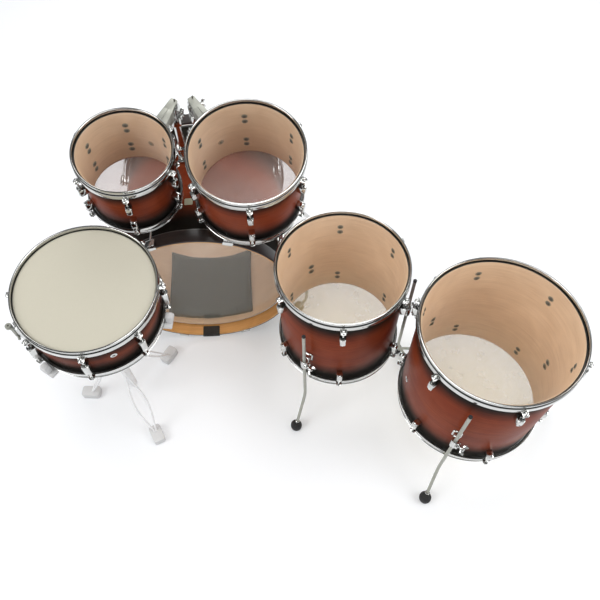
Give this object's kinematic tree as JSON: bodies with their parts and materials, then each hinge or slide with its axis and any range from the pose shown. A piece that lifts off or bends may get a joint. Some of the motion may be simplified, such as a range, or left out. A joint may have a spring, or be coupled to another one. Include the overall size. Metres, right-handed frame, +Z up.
{
  "type": "drum kit",
  "caption": "Drum kit: a bass drum carries rack toms on tilting holders, beside floor toms on sliding legs and a snare drum in the basket of a tripod stand; hoops hold clear heads.",
  "frame": {"origin": "on the floor, under the middle of the kit's box", "axes": "+X to the player's right along the row of drums, +Y away from the player, +Z up"},
  "size_m": [1.5784, 1.1826, 0.8854],
  "materials": {
    "burst_lacquer": "satin lacquer, red-brown fading to near black at both edges",
    "dark_lacquer": "dark lacquer",
    "chromed_steel": "polished chrome plate",
    "clear_head": "clear polyester film in an aluminium flesh hoop",
    "coated_head": "coated polyester film in an aluminium flesh hoop",
    "black_rubber": "matt rubber",
    "grey_felt": "felt",
    "pale_steel": "pale satin finish"
  },
  "bodies": {
    "kit": {"bass_shell": "burst_lacquer", "bass_batter_head": "clear_head", "bass_front_head": "clear_head", "bass_batter_hoop": "dark_lacquer", "bass_front_hoop": "dark_lacquer", "bass_hoop_protector": "black_rubber", "bass_muffling_pad": "grey_felt", "tom_holder_base": "chromed_steel", "floor_tom_small_shell": "burst_lacquer", "floor_tom_small_batter_head": "clear_head", "floor_tom_small_resonant_head": "clear_head", "floor_tom_small_batter_hoop": "chromed_steel", "floor_tom_small_resonant_hoop": "chromed_steel", "floor_tom_large_shell": "burst_lacquer", "floor_tom_large_batter_head": "clear_head", "floor_tom_large_resonant_head": "clear_head", "floor_tom_large_batter_hoop": "chromed_steel", "floor_tom_large_resonant_hoop": "chromed_steel"},
    "spur_left": {"spur_left": "chromed_steel"},
    "spur_right": {"spur_right": "chromed_steel"},
    "tom_post_small": {"tom_post_small": "chromed_steel"},
    "tom_tilter_small": {"tom_tilter_small": "chromed_steel"},
    "rack_tom_small": {"tom_arm_small": "chromed_steel", "tom_small_shell": "burst_lacquer", "tom_small_batter_head": "clear_head", "tom_small_resonant_head": "clear_head", "tom_small_batter_hoop": "chromed_steel", "tom_small_resonant_hoop": "chromed_steel", "tom_small_bracket": "chromed_steel"},
    "floor_tom_small_leg_1": {"floor_tom_small_leg_1": "chromed_steel"},
    "floor_tom_small_leg_2": {"floor_tom_small_leg_2": "chromed_steel"},
    "floor_tom_small_leg_3": {"floor_tom_small_leg_3": "chromed_steel"},
    "tom_post_large": {"tom_post_large": "chromed_steel"},
    "tom_tilter_large": {"tom_tilter_large": "chromed_steel"},
    "rack_tom_large": {"tom_arm_large": "chromed_steel", "tom_large_shell": "burst_lacquer", "tom_large_batter_head": "clear_head", "tom_large_resonant_head": "clear_head", "tom_large_batter_hoop": "chromed_steel", "tom_large_resonant_hoop": "chromed_steel", "tom_large_bracket": "chromed_steel"},
    "floor_tom_large_leg_1": {"floor_tom_large_leg_1": "chromed_steel"},
    "floor_tom_large_leg_2": {"floor_tom_large_leg_2": "chromed_steel"},
    "floor_tom_large_leg_3": {"floor_tom_large_leg_3": "chromed_steel"},
    "stand_column": {"stand_column": "pale_steel"},
    "stand_leg_1": {"stand_leg_1": "pale_steel"},
    "stand_leg_2": {"stand_leg_2": "pale_steel"},
    "stand_leg_3": {"stand_leg_3": "pale_steel"},
    "stand_inner_tube": {"stand_inner_tube": "pale_steel"},
    "stand_basket": {"stand_basket_hub": "pale_steel"},
    "basket_arm_1": {"stand_basket_arm_1": "pale_steel"},
    "basket_arm_2": {"stand_basket_arm_2": "pale_steel"},
    "basket_arm_3": {"stand_basket_arm_3": "pale_steel"},
    "snare_drum": {"snare_shell": "burst_lacquer", "snare_batter_head": "coated_head", "snare_resonant_head": "clear_head", "snare_batter_hoop": "chromed_steel", "snare_resonant_hoop": "chromed_steel", "snare_wires": "chromed_steel"},
    "throw_off_lever": {"snare_throw_off_lever": "chromed_steel"}
  },
  "joints": [
    {"name": "spur_left_fold", "type": "hinge", "parent": "kit", "child": "spur_left", "pos_m": [-0.64603, 0.41958, 0.27208], "axis": [0.9535, 0, -0.3015], "range_deg": [0, 60]},
    {"name": "spur_right_fold", "type": "hinge", "parent": "kit", "child": "spur_right", "pos_m": [-0.00989, 0.41958, 0.27208], "axis": [0.9535, 0, 0.3015], "range_deg": [0, 60]},
    {"name": "tom_small_height", "type": "slide", "parent": "kit", "child": "tom_post_small", "axis": [0, 0, 1], "range_m": [0, 0.08]},
    {"name": "tom_small_swivel", "type": "hinge", "parent": "tom_post_small", "child": "tom_tilter_small", "pos_m": [-0.35096, 0.40458, 0.76392], "axis": [0, 0, 1], "range_deg": [-25, 0]},
    {"name": "tom_small_tilt", "type": "hinge", "parent": "tom_tilter_small", "child": "rack_tom_small", "pos_m": [-0.35096, 0.40458, 0.76392], "axis": [-0.8965, 0.4431, 0], "range_deg": [-3, 20]},
    {"name": "tom_large_height", "type": "slide", "parent": "kit", "child": "tom_post_large", "axis": [0, 0, 1], "range_m": [0, 0.08]},
    {"name": "tom_large_swivel", "type": "hinge", "parent": "tom_post_large", "child": "tom_tilter_large", "pos_m": [-0.28896, 0.40458, 0.76808], "axis": [0, 0, 1], "range_deg": [0, 12]},
    {"name": "tom_large_tilt", "type": "hinge", "parent": "tom_tilter_large", "child": "rack_tom_large", "pos_m": [-0.28896, 0.40458, 0.76808], "axis": [-0.8536, -0.5209, 0], "range_deg": [-1.5, 20]},
    {"name": "floor_tom_small_leg_1_height", "type": "slide", "parent": "kit", "child": "floor_tom_small_leg_1", "axis": [0, 0, 1], "range_m": [0, 0.05]},
    {"name": "floor_tom_small_leg_2_height", "type": "slide", "parent": "kit", "child": "floor_tom_small_leg_2", "axis": [0, 0, 1], "range_m": [0, 0.05]},
    {"name": "floor_tom_small_leg_3_height", "type": "slide", "parent": "kit", "child": "floor_tom_small_leg_3", "axis": [0, 0, 1], "range_m": [0, 0.05]},
    {"name": "floor_tom_large_leg_1_height", "type": "slide", "parent": "kit", "child": "floor_tom_large_leg_1", "axis": [0, 0, 1], "range_m": [0, 0.08]},
    {"name": "floor_tom_large_leg_2_height", "type": "slide", "parent": "kit", "child": "floor_tom_large_leg_2", "axis": [0, 0, 1], "range_m": [0, 0.08]},
    {"name": "floor_tom_large_leg_3_height", "type": "slide", "parent": "kit", "child": "floor_tom_large_leg_3", "axis": [0, 0, 1], "range_m": [0, 0.08]},
    {"name": "stand_fold", "type": "slide", "parent": "kit", "child": "stand_column", "axis": [0, 0, 1], "range_m": [0, 0.04]},
    {"name": "stand_leg_1_fold", "type": "hinge", "parent": "stand_column", "child": "stand_leg_1", "pos_m": [-0.57333, -0.13667, 0.285], "axis": [-0.8192, 0.5736, 0], "range_deg": [0, 13.5]},
    {"name": "stand_leg_2_fold", "type": "hinge", "parent": "stand_column", "child": "stand_leg_2", "pos_m": [-0.61885, -0.15789, 0.285], "axis": [-0.0872, -0.9962, 0], "range_deg": [0, 13.5]},
    {"name": "stand_leg_3_fold", "type": "hinge", "parent": "stand_column", "child": "stand_leg_3", "pos_m": [-0.5777, -0.1867, 0.285], "axis": [0.9063, 0.4226, 0], "range_deg": [0, 13.5]},
    {"name": "stand_height", "type": "slide", "parent": "stand_column", "child": "stand_inner_tube", "axis": [0, 0, 1], "range_m": [-0.02, 0.04]},
    {"name": "basket_tilt", "type": "hinge", "parent": "stand_inner_tube", "child": "stand_basket", "pos_m": [-0.58308, -0.13993, 0.45474], "axis": [0.5569, 0.8306, 0], "range_deg": [-10, 10]},
    {"name": "basket_arm_1_open", "type": "hinge", "parent": "stand_basket", "child": "basket_arm_1", "pos_m": [-0.59255, -0.11416, 0.48616], "axis": [-0.9138, -0.4025, 0.0547], "range_deg": [0, 8]},
    {"name": "basket_arm_2_open", "type": "hinge", "parent": "stand_basket", "child": "basket_arm_2", "pos_m": [-0.59841, -0.16573, 0.48372], "axis": [0.801, -0.59, -0.1017], "range_deg": [0, 8]},
    {"name": "basket_arm_3_open", "type": "hinge", "parent": "stand_basket", "child": "basket_arm_3", "pos_m": [-0.55093, -0.14482, 0.48088], "axis": [0.1128, 0.9925, 0.047], "range_deg": [0, 8]},
    {"name": "snare_lift", "type": "slide", "parent": "stand_basket", "child": "snare_drum", "axis": [0.0845, -0.0567, 0.9948], "range_m": [0, 0.06]},
    {"name": "throw_off", "type": "hinge", "parent": "snare_drum", "child": "throw_off_lever", "pos_m": [-0.75181, -0.23176, 0.6106], "axis": [0.4132, -0.9065, -0.0868], "range_deg": [0, 80]}
  ],
  "couplings": [
    {"joint": "stand_leg_1_fold", "follows": "stand_fold", "rad_per_m": 5.8479},
    {"joint": "stand_leg_2_fold", "follows": "stand_fold", "rad_per_m": 5.8479},
    {"joint": "stand_leg_3_fold", "follows": "stand_fold", "rad_per_m": 5.8479},
    {"joint": "basket_arm_2_open", "follows": "basket_arm_1_open", "ratio": 1},
    {"joint": "basket_arm_3_open", "follows": "basket_arm_1_open", "ratio": 1}
  ]
}
